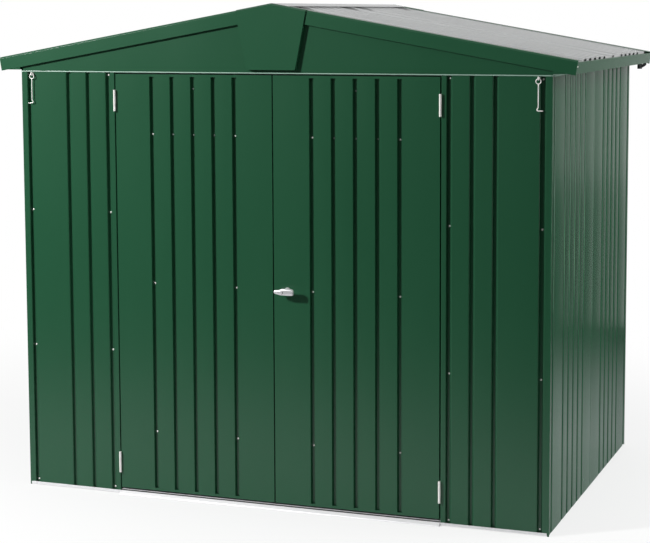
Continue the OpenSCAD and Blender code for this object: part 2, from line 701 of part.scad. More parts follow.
// Right-hand leaf in the front wall's depth frame, x from the doorway's middle; spindle cuts the handle's hole
module leaf(spindle) translate([0, -half_d, 0]) {
    centres = [for (i = [-2:2]) leaf_mid + i * pitch_w - leaf_free_x];
    g0 = leaf_z0 + leaf_groove_end;
    g1 = leaf_z1 - leaf_groove_end;
    brace_x0 = spindle ? handle_x + cam_len + 10 : leaf_free_x + 3;
    difference() {
        union() {
            translate([leaf_free_x, 0, 0]) {
                standing(g0, g1) polygon(sheet_outline(leaf_w, centres, "cut", "cut"));
                standing(leaf_z0, g0) square([leaf_w, sheet_t]);
                standing(g1, leaf_z1) square([leaf_w, sheet_t]);
                // closed ends of the grooves
                for (z = [g0 - sheet_t, g1]) for (c = centres) translate([c - groove_w / 2 - 1, 0, z])
                    cube([groove_w + 2, sheet_depth, sheet_t]);
                // folded edges
                for (x = [0, leaf_w - sheet_t]) translate([x, 0, leaf_z0])
                    cube([sheet_t, leaf_d, leaf_z1 - leaf_z0]);
                for (z = [leaf_z0, leaf_z1 - sheet_t]) translate([0, 0, z]) cube([leaf_w, leaf_d, sheet_t]);
                for (x = [0, leaf_w - hem_w]) translate([x, leaf_d - sheet_t, leaf_z0])
                    cube([hem_w, sheet_t, leaf_z1 - leaf_z0]);
            }
            // braces on the inside
            for (z = [leaf_z0 + brace_from_foot, handle_z, leaf_z1 - brace_from_top])
                translate([z == handle_z ? brace_x0 : leaf_free_x + 1, brace_y, z - brace_h / 2])
                    brace(leaf_hinge_x - 1 - (z == handle_z ? brace_x0 : leaf_free_x + 1));
        }
        if (spindle) translate([handle_x, -1, handle_z]) rotate([-90, 0, 0])
            cylinder(h = leaf_d, r = handle_hole_r, $fn = 48);
    }
}

// Channel-shaped brace against the backs of the grooves
module brace(length) {
    depth = leaf_d - brace_y - 1;
    difference() {
        cube([length, depth, brace_h]);
        translate([-1, sheet_t, sheet_t]) cube([length + 2, depth, brace_h - 2 * sheet_t]);
    }
}

module left_door() placed() color(wall_green) mirrored(-1) leaf(false);
module right_door() placed() color(wall_green) leaf(true);

hinge_zs = [hinge_low_z, hinge_high_z];

// Fixed half of one hinge: end knuckles, the pin and a plate on the jamb
module fixed_hinge() {
    for (z = [0, hinge_len - hinge_end]) {
        translate([0, 0, z]) cylinder(h = hinge_end, r = knuckle_r, $fn = 48);
        translate([hinge_plate_off, 0, z]) cube([hinge_plate_t, axis_out, hinge_end]);
    }
    cylinder(h = hinge_len, r = hinge_pin_r, $fn = 48);
    translate([hinge_plate_off, axis_out - 1, 0]) cube([hinge_plate_t, hinge_plate_back, hinge_len]);
}

// Moving half: the long middle knuckle and a plate on the leaf's edge
module moving_hinge() {
    z0 = hinge_end + fit;
    length = hinge_len - 2 * z0;
    difference() {
        union() {
            translate([0, 0, z0]) cylinder(h = length, r = knuckle_r, $fn = 48);
            translate([-hinge_plate_off - hinge_plate_t, 0, z0]) cube([hinge_plate_t, axis_out, length]);
            translate([-hinge_plate_off - hinge_plate_t, axis_out - 1, 0])
                cube([hinge_plate_t, hinge_plate_back, hinge_len]);
        }
        cylinder(h = hinge_len, r = hinge_pin_r + run_fit, $fn = 48);
    }
}

module at_right_hinges() for (z = hinge_zs) translate([axis_x, -half_d - axis_out, z]) children();

module fixed_hinge_leaves() placed() color(steel)
    for (side = [-1, 1]) mirrored(side) at_right_hinges() fixed_hinge();
module left_door_hinges() placed() color(steel) mirrored(-1) at_right_hinges() moving_hinge();
module right_door_hinges() placed() color(steel) at_right_hinges() moving_hinge();

// ---- handle ----

// Frame of the handle: x across the door, z up, y out of the face is negative
module at_handle() translate([handle_x, -half_d, handle_z]) children();
module face_disc(y0, y1, r) translate([0, y1, 0]) rotate([90, 0, 0]) cylinder(h = y1 - y0, r = r, $fn = 64);

module handle_rose() placed() color(steel) at_handle() difference() {
    face_disc(-rose_t - rose_gap, -rose_gap, rose_r);
    face_disc(-rose_t - 1, 1, spindle_r + run_fit);
}

// A tapered grip on a neck, a spindle through the door and a cam behind it
module turn_handle() placed() color(steel) at_handle() {
    bar_y = -handle_reach;
    face_disc(bar_y + bar_t - 1, -rose_t - rose_gap - fit, neck_r);
    face_disc(-rose_t - rose_gap - fit - 1, leaf_d - 2, spindle_r);
    translate([0, bar_y + bar_t, 0]) rotate([90, 0, 0]) linear_extrude(bar_t) {
        circle(r = grip_r, $fn = 64);
        polygon([[0, grip_r], [0, -grip_r], [nose_x, -nose_r], [nose_x, nose_r]]);
        translate([nose_x, 0]) circle(r = nose_r, $fn = 64);
        polygon([[0, -grip_r], [0, grip_r], [tail_x, tail_r], [tail_x, -tail_r]]);
        translate([tail_x, 0]) circle(r = tail_r, $fn = 64);
    }
    translate([-cam_len, leaf_d - 2, -cam_w / 2]) cube([cam_len + cam_w / 2, cam_t, cam_w]);
}

// ---- hold-open hooks ----

module ring(radius, wire) rotate_extrude($fn = 48) translate([radius, 0]) circle(r = wire, $fn = 24);

// Straight wire between two points in the x-z plane
module wire_between(a, b) {
    d = b - a;
    translate([a[0], 0, a[1]]) rotate([0, atan2(d[0], d[1]), 0]) cylinder(h = norm(d), r = wire_r, $fn = 24);
}
module wire_ball(p) translate([p[0], 0, p[1]]) sphere(r = wire_r + 0.1, $fn = 24);

// The pivot is where the hook's ring rests in its eye
module at_right_eye() translate([hook_x, -half_d - eye_out, eye_z]) children();

module hook_eye() at_right_eye() {
    rotate([0, 90, 0]) ring(eye_r, eye_wire_r);
    base = eye_out - fit;
    translate([0, eye_r, 0]) rotate([-90, 0, 0]) cylinder(h = base - eye_r, r = eye_wire_r, $fn = 24);
    translate([0, base - eye_disc_t, 0]) rotate([-90, 0, 0])
        cylinder(h = eye_disc_t, r = eye_disc_r, $fn = 32);
}

module hook() at_right_eye() translate([0, 0, -pivot_drop - ring_r]) {
    bottom = -hook_len;
    path = [[0, -ring_r], [0, bottom + 11], [-foot_kink, bottom + 5], [-foot_kink + 2, bottom],
            [foot_w - foot_kink, bottom]];
    rotate([90, 0, 0]) ring(ring_r, wire_r);
    for (i = [0:len(path) - 2]) wire_between(path[i], path[i + 1]);
    for (i = [1:len(path) - 1]) wire_ball(path[i]);
}

module hook_eyes() placed() color(steel) for (side = [-1, 1]) mirrored(side) hook_eye();
module left_hook() placed() color(steel) mirrored(-1) hook();
module right_hook() placed() color(steel) hook();

front_base_rails();
back_base_rail();
side_base_rails();
door_sill();
front_left_corner_post();
front_right_corner_post();
back_left_corner_post();
back_right_corner_post();
front_left_panel();
front_right_panel();
door_jambs();
left_wall_front_sheet();
left_wall_back_sheet();
right_wall_front_sheet();
right_wall_back_sheet();
back_wall_left_sheet();
back_wall_middle_sheet();
back_wall_right_sheet();
front_top_rail();
back_top_rail();
left_top_rail();
right_top_rail();
front_gable();
back_gable();
front_barge_boards();
back_barge_boards();
front_gable_cap();
back_gable_cap();
left_gutter();
right_gutter();
gutter_spouts();
left_roof_front_sheet();
left_roof_back_sheet();
right_roof_front_sheet();
right_roof_back_sheet();
ridge_beam();
ridge_cap();
left_door();
right_door();
fixed_hinge_leaves();
left_door_hinges();
right_door_hinges();
handle_rose();
turn_handle();
hook_eyes();
left_hook();
right_hook();
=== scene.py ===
"""Visual model of a sheet-steel garden shed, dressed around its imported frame.

Every folded sheet starts from the frame's own solid, gets bends with a real radius and eased rims, and takes
one of the finishes below. Fasteners, the turn handle, the hold-open hooks and the gutter outlets are built
here. All lengths are in metres, in the frame's own axes: doors towards -Y, +Z up.
"""
from __future__ import annotations

import logging
import math
from dataclasses import dataclass, field
from enum import Enum
from typing import Any, Iterable, Sequence

import bmesh
import bpy
from mathutils import Euler, Matrix, Vector

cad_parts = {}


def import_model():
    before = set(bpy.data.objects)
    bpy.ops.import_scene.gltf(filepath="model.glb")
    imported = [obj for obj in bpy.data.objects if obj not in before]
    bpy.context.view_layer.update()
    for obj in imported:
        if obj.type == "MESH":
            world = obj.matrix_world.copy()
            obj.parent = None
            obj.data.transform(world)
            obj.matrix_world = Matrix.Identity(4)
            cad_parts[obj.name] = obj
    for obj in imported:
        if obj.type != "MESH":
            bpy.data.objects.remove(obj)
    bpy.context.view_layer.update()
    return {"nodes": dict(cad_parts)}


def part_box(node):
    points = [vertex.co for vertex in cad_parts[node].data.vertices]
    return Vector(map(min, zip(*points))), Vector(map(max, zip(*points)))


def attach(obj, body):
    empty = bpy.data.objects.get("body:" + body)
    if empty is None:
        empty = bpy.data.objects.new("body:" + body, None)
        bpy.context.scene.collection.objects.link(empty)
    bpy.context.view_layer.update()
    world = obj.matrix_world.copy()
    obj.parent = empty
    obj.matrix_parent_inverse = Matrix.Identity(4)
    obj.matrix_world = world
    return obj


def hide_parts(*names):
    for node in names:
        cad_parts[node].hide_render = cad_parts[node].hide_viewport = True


LOG = logging.getLogger("shed")
MM = 0.001
SHEET = 1.5 * MM            # thickness of the folded sheet
CORNER = 38.0 * MM          # from a wall's end to its first sheet
BAYS = 3                    # sheets along the front
STEPS = 8.0                 # groove spacings in one sheet
REACH = 2.0                 # the outer grooves are this many spacings from a sheet's middle
FINE = 0.01 * MM            # depth of drawing lines and handling marks
SIDES = {"left": -1, "right": 1}
ENDS = ("front", "back")
Colour = tuple[float, float, float]
Mesh = bmesh.types.BMesh
Socket = bpy.types.NodeSocket


# ---- shader maths


class Value:
    """A number in a shader. Maths on it adds the nodes that work it out."""

    def __init__(self, shader: "Shader", socket: Socket) -> None:
        """Wraps a socket.

        Args:
            shader: the shader that the socket belongs to.
            socket: an output socket that carries a number.
        """
        self.shader = shader
        self.socket = socket

    def _maths(self, operation: str, *terms: "Value | float") -> "Value":
        """Adds one Math node.

        Args:
            operation: the Math node's operation.
            terms: its inputs in order.

        Returns:
            The node's result.
        """
        node = self.shader.node("ShaderNodeMath", {"operation": operation}, dict(enumerate(terms)))
        return Value(self.shader, node.outputs[0])

    def __add__(self, other: "Value | float") -> "Value":
        """Sum."""
        return self._maths("ADD", self, other)

    __radd__ = __add__

    def __sub__(self, other: "Value | float") -> "Value":
        """Difference."""
        return self._maths("SUBTRACT", self, other)

    def __rsub__(self, other: float) -> "Value":
        """Difference, with this value taken from a plain number."""
        return self._maths("SUBTRACT", other, self)

    def __mul__(self, other: "Value | float") -> "Value":
        """Product."""
        return self._maths("MULTIPLY", self, other)

    __rmul__ = __mul__

    def __truediv__(self, other: "Value | float") -> "Value":
        """Quotient."""
        return self._maths("DIVIDE", self, other)

    def sine(self) -> "Value":
        """Sine, in radians."""
        return self._maths("SINE", self)

    def absolute(self) -> "Value":
        """Size without its sign."""
        return self._maths("ABSOLUTE", self)

    def wrapped(self, period: float) -> "Value":
        """What is left after whole periods are taken away."""
        return self._maths("FLOORED_MODULO", self, period)

    def under(self, limit: float) -> "Value":
        """1 where this is under the limit, or else 0."""
        return self._maths("LESS_THAN", self, limit)

    def rise(self, low: float, high: float) -> "Value":
        """Smooth step from 0 at low to 1 at high.

        Args:
            low: where it leaves 0.
            high: where it reaches 1.

        Returns:
            The stepped value.
        """
        node = self.shader.node("ShaderNodeMapRange", {"interpolation_type": "SMOOTHSTEP"},
                                {"Value": self, "From Min": low, "From Max": high})
        return Value(self.shader, node.outputs[0])


class Shader:
    """One node tree, and the few ways in which nodes are added to it."""

    def __init__(self, tree: bpy.types.NodeTree) -> None:
        """Empties a node tree and keeps it.

        Args:
            tree: the tree of a material or world.
        """
        self.tree = tree
        tree.nodes.clear()

    def node(self, kind: str, settings: dict[str, Any] | None = None,
             inputs: dict[str | int, Any] | None = None) -> bpy.types.Node:
        """Adds a node.

        Args:
            kind: the node's type.
            settings: its properties, set first.
            inputs: values or links for its input sockets, by name or number.

        Returns:
            The new node.
        """
        made = self.tree.nodes.new(kind)
        for name, setting in (settings or {}).items():
            setattr(made, name, setting)
        for name, given in (inputs or {}).items():
            socket = made.inputs[name]
            if isinstance(given, Value):
                given = given.socket
            if isinstance(given, Socket):
                self.tree.links.new(given, socket)
            else:
                socket.default_value = given
        return made

    def place(self, scale: Sequence[float] = (1.0, 1.0, 1.0)) -> Socket:
        """The point's own coordinates in metres, stretched.

        Args:
            scale: factor along each axis.

        Returns:
            A vector socket.
        """
        coords = self.node("ShaderNodeTexCoord")
        return self.node("ShaderNodeVectorMath", {"operation": "MULTIPLY"},
                         {0: coords.outputs["Object"], 1: tuple(scale)}).outputs[0]

    def part(self, vector: Socket, index: int) -> Value:
        """One component of a vector.

        Args:
            vector: a vector socket.
            index: 0, 1 or 2.

        Returns:
            That component.
        """
        return Value(self, self.node("ShaderNodeSeparateXYZ", None, {0: vector}).outputs[index])

    def noise(self, scale: float, detail: float = 2.0, stretch: Sequence[float] = (1.0, 1.0, 1.0)) -> Value:
        """Fractal noise from 0 to 1.

        Args:
            scale: cells a metre.
            detail: octaves.
            stretch: factor along each axis before scaling.

        Returns:
            The noise.
        """
        inputs = {"Vector": self.place(stretch), "Scale": scale, "Detail": detail}
        return Value(self, self.node("ShaderNodeTexNoise", None, inputs).outputs[0])

    def cells(self, scale: float) -> Value:
        """A cell pattern in which each cell has one level.

        Args:
            scale: cells a metre.

        Returns:
            The cell's level, from 0 to 1.
        """
        made = self.node("ShaderNodeTexVoronoi", None, {"Vector": self.place(), "Scale": scale})
        return Value(self, self.node("ShaderNodeSeparateColor", None, {0: made.outputs["Color"]}).outputs[0])

    def tint(self, low: Colour, high: Colour, factor: Value) -> Socket:
        """Mixes two colours.

        Args:
            low: colour where the factor is 0.
            high: colour where the factor is 1.
            factor: the mix.

        Returns:
            A colour socket.
        """
        return self.node("ShaderNodeMix", {"data_type": "RGBA"},
                         {0: factor, 6: (*low, 1.0), 7: (*high, 1.0)}).outputs[2]

    def bump(self, height: Value, depth: float = 1.0) -> Socket:
        """Turns a height into a bent normal.

        Args:
            height: the height pattern.
            depth: metres for a height of 1.

        Returns:
            A normal socket.
        """
        inputs = {"Strength": 1.0, "Distance": depth, "Height": height}
        return self.node("ShaderNodeBump", None, inputs).outputs[0]

    def surface(self, **inputs: Any) -> None:
        """Adds the main surface shader and links it to the output.

        Args:
            inputs: the Principled node's inputs, with underscores for spaces.
        """
        given = {name.replace("_", " "): value for name, value in inputs.items()}
        self.output(self.node("ShaderNodeBsdfPrincipled", None, given).outputs[0])

    def output(self, shader: Socket, kind: str = "ShaderNodeOutputMaterial") -> None:
        """Links a shader to the tree's output.

        Args:
            shader: the shader socket.
            kind: the output node's type.
        """
        self.node(kind, None, {"Surface": shader})


# ---- finishes


@dataclass(frozen=True)
class Finish:
    """What every finish has: a name, a colour and the record's slot that it dresses."""

    name: str
    colour: Colour
    slot: str

    def material(self) -> bpy.types.Material:
        """Makes the material once and gives the same one after that.

        Returns:
            The material.
        """
        found = bpy.data.materials.get(self.name)
        if found is None:
            found = bpy.data.materials.new(self.name)
            found.use_nodes = True
            self.paint(Shader(found.node_tree))
            found.diffuse_color = (*self.colour, 1.0)
        return found

    def paint(self, shader: Shader) -> None:
        """Adds the nodes.

        Args:
            shader: the material's empty tree.
        """
        raise NotImplementedError

    def shade(self, factor: float) -> Colour:
        """The finish's colour made darker or paler.

        Args:
            factor: multiplies each channel.

        Returns:
            The new colour.
        """
        red, green, blue = self.colour
        return (red * factor, green * factor, blue * factor)


@dataclass(frozen=True)
class StovedPaint(Finish):
    """Satin stoved paint on thin sheet: slight mottling, fine peel and the long waves of thin metal."""

    roughness: float = 0.23
    wave: float = 0.25 * MM
    peel: float = 0.012 * MM

    def swell(self, shader: Shader) -> Value | float:
        """Height of the sheet's own shape, in metres; plain trim has none.

        Args:
            shader: the material's tree.

        Returns:
            The height.
        """
        return 0.0

    def paint(self, shader: Shader) -> None:
        """Adds the nodes.

        Args:
            shader: the material's empty tree.
        """
        cloud = shader.noise(3.0, 3.0, (1.0, 1.0, 0.35))
        grain = shader.noise(900.0, 2.0)
        dust = shader.noise(26.0, 4.0) * (1.0 - shader.part(shader.place(), 2).rise(0.0, 0.35))
        waves = shader.noise(4.5, 1.0, (1.0, 1.0, 0.5)) * self.wave + grain * self.peel + self.swell(shader)
        shader.surface(
            Base_Color=shader.tint(self.shade(0.93), self.shade(1.07), cloud * 0.8 + dust * 0.4),
            Roughness=self.roughness + (cloud - 0.5) * 0.08 + dust * 0.05,
            Normal=shader.bump(waves),
        )


@dataclass(frozen=True)
class PressedPaint(StovedPaint):
    """The same paint on a pressed sheet, whose flats bow out a little between the grooves.

    Axis, start and spacing place the grooves. A mirrored pattern runs both ways from its start.
    The outer flat is the width beside the outermost groove, in spacings.
    """

    axis: int = 0
    start: float = 0.0
    spacing: float = 0.091
    mirrored: bool = False
    outer_flat: float = REACH
    bow: float = 0.9 * MM
    outer_bow: float = 0.7

    def swell(self, shader: Shader) -> Value:
        """Height of the bowed flats.

        Args:
            shader: the material's tree.

        Returns:
            The height, 0 at the grooves.
        """
        along = shader.part(shader.place(), self.axis)
        if self.mirrored:
            steps = ((along.absolute() - self.start) / self.spacing).absolute()
        else:
            steps = (((along - self.start) / self.spacing).wrapped(STEPS) - STEPS / 2.0).absolute()
        inner = steps.under(REACH)
        narrow = (steps * math.pi).sine().absolute()
        wide = ((steps - REACH) * (math.pi / self.outer_flat)).sine() * (self.outer_bow * self.outer_flat)
        return (narrow * inner + wide * (1.0 - inner)) * self.bow


@dataclass(frozen=True)
class ZincCoat(Finish):
    """Hot-dip coated sheet: pale metal with a faint spangle."""

    spangle: float = 240.0
    metallic: float = 0.45
    roughness: float = 0.42
    wave: float = 0.15 * MM

    def paint(self, shader: Shader) -> None:
        """Adds the nodes.

        Args:
            shader: the material's empty tree.
        """
        facets = shader.cells(self.spangle)
        cloud = shader.noise(5.0, 3.0)
        shader.surface(
            Base_Color=shader.tint(self.shade(0.97), self.shade(1.03), facets * 0.4 + cloud * 0.6),
            Metallic=self.metallic,
            Roughness=self.roughness + facets * 0.02 + (cloud - 0.5) * 0.05,
            Normal=shader.bump(shader.noise(4.0, 1.0) * self.wave),
        )


@dataclass(frozen=True)
class DrawnAluminium(Finish):
    """Extruded bar with fine lines along its length."""

    stretch: tuple[float, float, float] = (0.02, 1.0, 1.0)
    metallic: float = 0.25
    roughness: float = 0.34

    def paint(self, shader: Shader) -> None:
        """Adds the nodes.

        Args:
            shader: the material's empty tree.
        """
        lines = shader.noise(1400.0, 2.0, self.stretch)
        cloud = shader.noise(9.0, 3.0)
        shader.surface(
            Base_Color=shader.tint(self.shade(0.93), self.shade(1.04), lines * 0.6 + cloud * 0.4),
            Metallic=self.metallic,
            Roughness=self.roughness + lines * 0.12,
            Normal=shader.bump(lines, FINE),
        )


@dataclass(frozen=True)
class EvenCoat(Finish):
    """Plating, moulded plastic, and the flat coats that paint the rails' highlight and the shade of rivets,
    gaps and the keyhole: even, with one fine pattern in its colour, roughness and height.
    """

    roughness: float = 0.26
    metallic: float = 0.9
    scale: float = 160.0
    detail: float = 4.0
    shades: tuple[float, float] = (0.94, 1.04)
    uneven: float = 0.14
    depth: float = FINE

    def paint(self, shader: Shader) -> None:
        """Adds the nodes.

        Args:
            shader: the material's empty tree.
        """
        marks = shader.noise(self.scale, self.detail)
        low, high = self.shades
        shader.surface(
            Base_Color=shader.tint(self.shade(low), self.shade(high), marks),
            Metallic=self.metallic,
            Roughness=self.roughness + (marks - 0.5) * self.uneven,
            Normal=shader.bump(marks, self.depth),
        )


GREEN = StovedPaint("stoved_green_sheet", (0.0145, 0.0795, 0.0368), "green_sheet")
GREEN_TRIM = StovedPaint("stoved_green_trim", (0.0155, 0.0845, 0.0392), "green_trim", wave=0.08 * MM)
# Pale grey-green on the green top rails: painted highlight for the light caught along their lips.
RAIL_HIGHLIGHT = EvenCoat("rail_painted_highlight", (0.30, 0.45, 0.37), "green_trim", roughness=0.38, metallic=0.0)
ROOF = ZincCoat("coated_roof_sheet", (0.59, 0.60, 0.60), "roof_sheet")
# The ridge cap is the roof's coated sheet made paler: painted highlight for the light along the ridge.
RIDGE_CAP_HIGHLIGHT = ZincCoat("ridge_cap_painted_highlight", (0.84, 0.85, 0.85), "roof_sheet", roughness=0.38)
SILL = DrawnAluminium("drawn_aluminium", (0.86, 0.86, 0.87), "zinc_sill")
ZINC = EvenCoat("zinc_plate", (0.93, 0.92, 0.88), "bright_steel", roughness=0.36, metallic=0.12)
# A darker copy of the zinc for the rivets between the outer grooves: painted shade for the shadow in the
# grooves.
SHADED_ZINC = EvenCoat("zinc_painted_shade", (0.16, 0.20, 0.18), "bright_steel", roughness=0.45, metallic=0.3)
CHROME = EvenCoat("satin_chrome", (0.84, 0.84, 0.85), "chrome_handle", roughness=0.3, metallic=0.6)
# Black moulded plastic for the gutter outlets; the same black paints the shade in the gaps under the doors,
# in the sill's groove and in the keyhole.
BLACK_AND_PAINTED_SHADE = EvenCoat("black_plastic", (0.02, 0.02, 0.022), "black_plastic", roughness=0.575, metallic=0.0,
                 scale=1600.0, detail=3.0, shades=(0.8, 1.3), uneven=0.15, depth=0.03 * MM)


# ---- the frame's sizes


@dataclass(frozen=True)
class Plan:
    """Faces and lines of the building, read from the frame."""

    half_width: float
    front: float
    back: float
    spacing: float
    groove: float
    leaf_middle: float
    leaf_width: float

    @classmethod
    def from_frame(cls) -> "Plan":
        """Reads the frame's boxes.

        Returns:
            The plan.
        """
        left_low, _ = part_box("left_wall_front_sheet")
        panel_low, panel_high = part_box("front_left_panel")
        leaf_low, leaf_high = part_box("right_door")
        _, rear_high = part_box("back_wall_middle_sheet")
        half_width = -left_low.x
        spacing = 2.0 * (half_width - CORNER) / BAYS / STEPS
        groove = panel_high.y - panel_low.y - SHEET
        return cls(half_width, panel_low.y, rear_high.y, spacing, groove,
                   (leaf_low.x + leaf_high.x) / 2.0, leaf_high.x - leaf_low.x)

    def front_paint(self) -> PressedPaint:
        """Paint for the sheets of the front and back walls."""
        return PressedPaint("stoved_green_front", GREEN.colour, GREEN.slot, start=CORNER - self.half_width,
                            spacing=self.spacing)

    def side_paint(self) -> PressedPaint:
        """Paint for the sheets of the side walls."""
        return PressedPaint("stoved_green_side", GREEN.colour, GREEN.slot, axis=1, start=self.front + CORNER,
                            spacing=self.spacing)

    def leaf_paint(self) -> PressedPaint:
        """Paint for the doors, whose pattern is mirrored about the doorway's middle."""
        return PressedPaint("stoved_green_leaf", GREEN.colour, GREEN.slot, start=self.leaf_middle,
                            spacing=self.spacing, mirrored=True,
                            outer_flat=self.leaf_width / 2.0 / self.spacing - REACH)


class Wall(Enum):
    """The four outer faces, each with the direction that it looks in."""

    FRONT = (0.0, -1.0)
    BACK = (0.0, 1.0)
    LEFT = (-1.0, 0.0)
    RIGHT = (1.0, 0.0)

    @property
    def outward(self) -> Vector:
        """Unit vector out of the wall."""
        return Vector((*self.value, 0.0))


# ---- mesh making


@dataclass(frozen=True)
class Bends:
    """How a folded solid is eased: the offset and steps of its folds, and the ease on its cut rims.

    An edge is a rim where a face beside it is narrower than the narrow width. Smooth shades round pieces.
    """

    fold: float = 1.7 * MM
    rim: float = 0.35 * MM
    steps: int = 3
    narrow: float = 3.5 * MM
    smooth: bool = False


class Workshop:
    """Makes meshes and fits them to the frame."""

    def __init__(self, nodes: dict[str, bpy.types.Object]) -> None:
        """Keeps the frame's nodes.

        Args:
            nodes: the frame's objects by name.
        """
        self.nodes = nodes

    @staticmethod
    def finish_mesh(name: str, bm: Mesh, smooth_degrees: float = 0.0) -> bpy.types.Object:
        """Turns a bmesh into an object in the scene.

        Args:
            name: the object's name.
            bm: the mesh; it is freed.
            smooth_degrees: faces that meet at less than this are shaded smooth; 0 keeps them flat.

        Returns:
            The object.
        """
        bmesh.ops.recalc_face_normals(bm, faces=bm.faces)
        mesh = bpy.data.meshes.new(name)
        for face in bm.faces:
            face.smooth = smooth_degrees > 0.0
        limit = math.radians(smooth_degrees)
        for edge in bm.edges:
            edge.smooth = len(edge.link_faces) == 2 and edge.calc_face_angle(0.0) < limit
        bm.to_mesh(mesh)
        bm.free()
        made = bpy.data.objects.new(name, mesh)
        bpy.context.scene.collection.objects.link(made)
        return made

    def piece(self, name: str, bm: Mesh, body: str, finish: Finish, smooth_degrees: float = 0.0,
              *stands_for: str) -> None:
        """Makes a piece and gives it its finish and body.

        Args:
            name: the piece's name.
            bm: its mesh; it is freed.
            body: the frame's body that it moves with.
            finish: its finish.
            smooth_degrees: as for finish_mesh.
            stands_for: frame nodes that it replaces.
        """
        made = self.finish_mesh(name, bm, smooth_degrees)
        made.data.materials.append(finish.material())
        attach(made, body)
        if stands_for:
            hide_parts(*stands_for)
        LOG.info("%s on %s: %d faces", name, body, len(made.data.polygons))

    def eased(self, node: str, bends: Bends) -> Mesh:
        """Copies a frame node's mesh with real bends and eased rims.

        Args:
            node: the frame node's name.
            bends: radii and steps.

        Returns:
            The new mesh.
        """
        bm = bmesh.new()
        bm.from_mesh(self.nodes[node].data)
        bmesh.ops.remove_doubles(bm, verts=bm.verts, dist=0.02 * MM)
        bmesh.ops.dissolve_limit(bm, angle_limit=math.radians(1.0), verts=bm.verts, edges=bm.edges)
        folds, rims = [], []
        for edge in bm.edges:
            if not edge.is_manifold or edge.calc_face_angle(0.0) < math.radians(20.0):
                continue
            widths = [2.0 * face.calc_area() / face.calc_perimeter() for face in edge.link_faces]
            (folds if min(widths) > bends.narrow else rims).append(edge)
        if folds:
            round_edges(bm, folds, bends.fold, bends.steps)
            rims = [edge for edge in rims if edge.is_valid]
        if rims and bends.rim > 0.0:
            round_edges(bm, rims, bends.rim)
        return bm

    def sheet(self, node: str, body: str, finish: Finish, bends: Bends) -> None:
        """Replaces a frame node by its eased copy.

        Args:
            node: the frame node's name.
            body: its body.
            finish: its finish.
            bends: radii and steps.
        """
        smooth_degrees = 35.0 if bends.smooth else 0.0
        self.piece(node + "_finished", self.eased(node, bends), body, finish, smooth_degrees, node)


def round_edges(bm: Mesh, edges: list[bmesh.types.BMEdge], radius: float, steps: int = 1) -> None:
    """Bevels some edges.

    Args:
        bm: the mesh.
        edges: its edges to round.
        radius: bevel offset.
        steps: segments.
    """
    bmesh.ops.bevel(bm, geom=edges, offset=radius, offset_type="OFFSET", segments=steps, profile=0.5,
                    affect="EDGES", clamp_overlap=True)


def eased_box(low: Vector, high: Vector, ease: float, steps: int = 1) -> Mesh:
    """A block with rounded edges.

    Args:
        low: its lowest corner.
        high: its highest corner.
        ease: bevel offset of its edges.
        steps: segments of each bevel.

    Returns:
        The mesh.
    """
    middle, size = (low + high) / 2.0, high - low
    bm = bmesh.new()
    bmesh.ops.create_cube(bm, size=1.0)
    for vert in bm.verts:
        vert.co = Vector(middle[i] + vert.co[i] * size[i] for i in range(3))
    round_edges(bm, bm.edges[:], ease, steps)
    return bm


def skin(bm: Mesh, rings: list[list[bmesh.types.BMVert]], looped: bool = False) -> None:
    """Joins neighbouring rings of points by faces, and closes both ends unless they are single points.

    Args:
        bm: the mesh.
        rings: the rings in order.
        looped: joins the last ring to the first instead.
    """
    for low, high in zip(rings, rings[1:] + rings[:1] if looped else rings[1:]):
        for i in range(max(len(low), len(high))):
            corners = dict.fromkeys((low[i % len(low)], low[(i + 1) % len(low)],
                                     high[(i + 1) % len(high)], high[i % len(high)]))
            if len(corners) > 2:
                bm.faces.new(list(corners))
    for ring in (rings[0], rings[-1]):
        if len(ring) > 2 and not looped:
            bm.faces.new(ring)


def lathe(profile: Sequence[tuple[float, float]], steps: int = 32) -> Mesh:
    """Turns a profile round the Z axis.

    Args:
        profile: radius and height points, from the axis to the axis for a closed solid.
        steps: segments round the axis.

    Returns:
        The mesh.
    """
    bm = bmesh.new()
    rings = []
    for radius, height in profile:
        if radius == 0.0:
            rings.append([bm.verts.new((0.0, 0.0, height))])
            continue
        turn = [2.0 * math.pi * i / steps for i in range(steps)]
        rings.append([bm.verts.new((radius * math.cos(a), radius * math.sin(a), height)) for a in turn])
    skin(bm, rings)
    return bm


def add_copies(target: Mesh, pattern: Mesh, places: Iterable[Matrix]) -> None:
    """Adds transformed copies of a mesh to another.

    Args:
        target: the mesh that grows.
        pattern: the mesh to copy; it is freed.
        places: one matrix for each copy.
    """
    for matrix in places:
        made = {vert: target.verts.new(matrix @ vert.co) for vert in pattern.verts}
        for face in pattern.faces:
            target.faces.new([made[vert] for vert in face.verts])
    pattern.free()


def copied(pattern: Mesh, places: Iterable[Matrix]) -> Mesh:
    """One mesh made of transformed copies.

    Args:
        pattern: the mesh to copy; it is freed.
        places: one matrix for each copy.

    Returns:
        The new mesh.
    """
    bm = bmesh.new()
    add_copies(bm, pattern, places)
    return bm


def facing(position: Sequence[float], outward: Vector) -> Matrix:
    """A place on a face, with +Z turned to look outwards.

    Args:
        position: the point on the face.
        outward: the face's normal.

    Returns:
        The matrix.
    """
    return Matrix.Translation(Vector(position)) @ outward.to_track_quat("Z", "Y").to_matrix().to_4x4()


